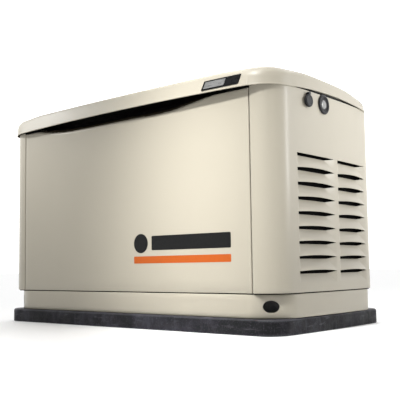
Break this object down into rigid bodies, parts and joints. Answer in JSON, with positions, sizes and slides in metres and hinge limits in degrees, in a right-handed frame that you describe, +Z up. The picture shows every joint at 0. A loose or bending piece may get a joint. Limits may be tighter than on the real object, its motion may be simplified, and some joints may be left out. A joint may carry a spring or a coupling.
{
  "type": "home standby generator",
  "caption": "Weatherproof home standby generator: bowed steel enclosure with hinged roof, louvered ends and a V-twin engine driving an alternator.",
  "frame": {"origin": "middle of the mounting pad's underside, under the centre of the bounding box", "axes": "+X to the exhaust end, along the length; -Y to the front panel; +Z up"},
  "size_m": [1.22, 0.6404, 0.741],
  "materials": {
    "composite_pad": "dark mottled moulded composite",
    "powder_coat": "warm light beige powder coat, satin",
    "cradle_steel": "black painted steel",
    "mount_rubber": "black rubber",
    "seal_rubber": "soft black sponge rubber",
    "zinc_steel": "zinc plated steel",
    "galvanised": "bright galvanised sheet",
    "black_plastic": "black moulded plastic",
    "lens": "grey translucent plastic lens",
    "badge": "plain black and silver plate",
    "emblem": "flat vinyl, black and orange, no lettering",
    "cast_case": "die cast aluminium",
    "engine_black": "black engine paint",
    "exhaust_steel": "heat-darkened aluminised steel",
    "shaft_steel": "ground steel",
    "laminations": "varnished laminated steel",
    "flywheel_iron": "cast iron",
    "filter_orange": "orange painted can",
    "battery_case": "black polypropylene",
    "cable": "black cable jacket",
    "yellow_grip": "yellow plastic",
    "display": "display window",
    "key_rubber": "grey silicone rubber",
    "toggle": "black toggle"
  },
  "bodies": {
    "base": {"mounting_pad": "composite_pad", "base_tray": "powder_coat", "lifting_corners": "powder_coat", "vibration_mounts": "mount_rubber", "engine_cradle": "cradle_steel", "right_side_panel": "powder_coat", "left_side_panel": "powder_coat", "rear_panel": "powder_coat", "divider_wall": "galvanised", "hinge_frame_leaves": "zinc_steel", "lid_seal": "seal_rubber", "lock_bezels": "black_plastic", "status_bezel": "black_plastic", "status_lens": "lens", "crankcase": "cast_case", "cylinder_barrels": "cast_case", "cylinder_heads": "cast_case", "valve_covers": "engine_black", "spark_plugs": "mount_rubber", "intake_manifold": "cast_case", "fuel_mixer": "cast_case", "air_cleaner_box": "black_plastic", "oil_filter": "filter_orange", "blower_housing": "engine_black", "starter_motor": "engine_black", "alternator_stator": "laminations", "alternator_brackets": "cast_case", "exhaust_pipes": "exhaust_steel", "muffler": "exhaust_steel", "battery": "battery_case", "battery_strap": "zinc_steel", "battery_cables": "cable", "controller_housing": "black_plastic", "display_window": "display", "breaker_housing": "black_plastic", "fuel_regulator": "cast_case", "fuel_hose": "cable", "wiring_harness": "cable"},
    "front_cover": {"front_panel": "powder_coat", "front_emblem": "emblem"},
    "lid": {"roof_lid": "powder_coat", "lid_badge": "badge", "lid_strikers": "zinc_steel", "hinge_lid_leaves": "zinc_steel"},
    "intake_cover": {"intake_panel": "powder_coat"},
    "right_lock_cam": {"lock_cam_right": "zinc_steel"},
    "right_lock_cover": {"lock_cover_right": "black_plastic"},
    "left_lock_cam": {"lock_cam_left": "zinc_steel"},
    "left_lock_cover": {"lock_cover_left": "black_plastic"},
    "running_gear": {"crankshaft": "shaft_steel", "alternator_rotor": "laminations", "flywheel_fan": "flywheel_iron"},
    "pinion": {"starter_pinion": "shaft_steel"},
    "throttle": {"throttle_lever": "zinc_steel"},
    "dipstick": {"oil_dipstick": "yellow_grip"},
    "air_cover": {"air_cleaner_cover": "black_plastic"},
    "breaker": {"breaker_toggle": "toggle"},
    "mode_rocker": {"mode_switch": "toggle"},
    "key_up": {"menu_key_up": "key_rubber"},
    "key_down": {"menu_key_down": "key_rubber"}
  },
  "joints": [
    {"name": "lid_hinge", "type": "hinge", "parent": "base", "child": "lid", "pos_m": [0, 0.305, 0.69], "axis": [-1, 0, 0], "range_deg": [0, 88]},
    {"name": "front_panel_off", "type": "slide", "parent": "base", "child": "front_cover", "axis": [0, -1, 0], "range_m": [0, 0.3]},
    {"name": "intake_panel_off", "type": "slide", "parent": "base", "child": "intake_cover", "axis": [-1, 0, 0], "range_m": [0, 0.2]},
    {"name": "right_lock_turn", "type": "hinge", "parent": "base", "child": "right_lock_cam", "pos_m": [0.585, -0.134, 0.656], "axis": [-1, 0, 0], "range_deg": [0, 90]},
    {"name": "right_lock_cover_swing", "type": "hinge", "parent": "base", "child": "right_lock_cover", "pos_m": [0.604, -0.134, 0.677], "axis": [1, 0, 0], "range_deg": [-70, 70]},
    {"name": "left_lock_turn", "type": "hinge", "parent": "base", "child": "left_lock_cam", "pos_m": [-0.585, -0.134, 0.656], "axis": [-1, 0, 0], "range_deg": [0, 90]},
    {"name": "left_lock_cover_swing", "type": "hinge", "parent": "base", "child": "left_lock_cover", "pos_m": [-0.604, -0.134, 0.677], "axis": [1, 0, 0], "range_deg": [-70, 70]},
    {"name": "engine_shaft_spin", "type": "hinge", "parent": "base", "child": "running_gear", "pos_m": [0, 0.02, 0.3], "axis": [1, 0, 0], "continuous": true},
    {"name": "starter_pinion_spin", "type": "hinge", "parent": "base", "child": "pinion", "pos_m": [0.147, 0.15, 0.215], "axis": [1, 0, 0], "continuous": true},
    {"name": "throttle_turn", "type": "hinge", "parent": "base", "child": "throttle", "pos_m": [0.06, -0.02, 0.537], "axis": [0, 1, 0], "range_deg": [0, 60], "stiffness_Nm_per_rad": 0.05, "springref_deg": -17.19},
    {"name": "dipstick_pull", "type": "slide", "parent": "base", "child": "dipstick", "axis": [0, 0, 1], "range_m": [0, 0.19]},
    {"name": "air_cover_lift", "type": "slide", "parent": "base", "child": "air_cover", "axis": [0, 0, 1], "range_m": [0, 0.06]},
    {"name": "breaker_throw", "type": "hinge", "parent": "base", "child": "breaker", "pos_m": [0.326, -0.147, 0.656], "axis": [1, 0, 0], "range_deg": [-20, 20]},
    {"name": "mode_rock", "type": "hinge", "parent": "base", "child": "mode_rocker", "pos_m": [0.399, -0.22458, 0.60773], "axis": [1, 0, 0], "range_deg": [-8, 8]},
    {"name": "key_up_press", "type": "slide", "parent": "base", "child": "key_up", "axis": [0, 0.6823, -0.7311], "range_m": [0, 0.001], "stiffness_N_per_m": 300, "springref_m": -0.0004},
    {"name": "key_down_press", "type": "slide", "parent": "base", "child": "key_down", "axis": [0, 0.6823, -0.7311], "range_m": [0, 0.001], "stiffness_N_per_m": 300, "springref_m": -0.0004}
  ]
}
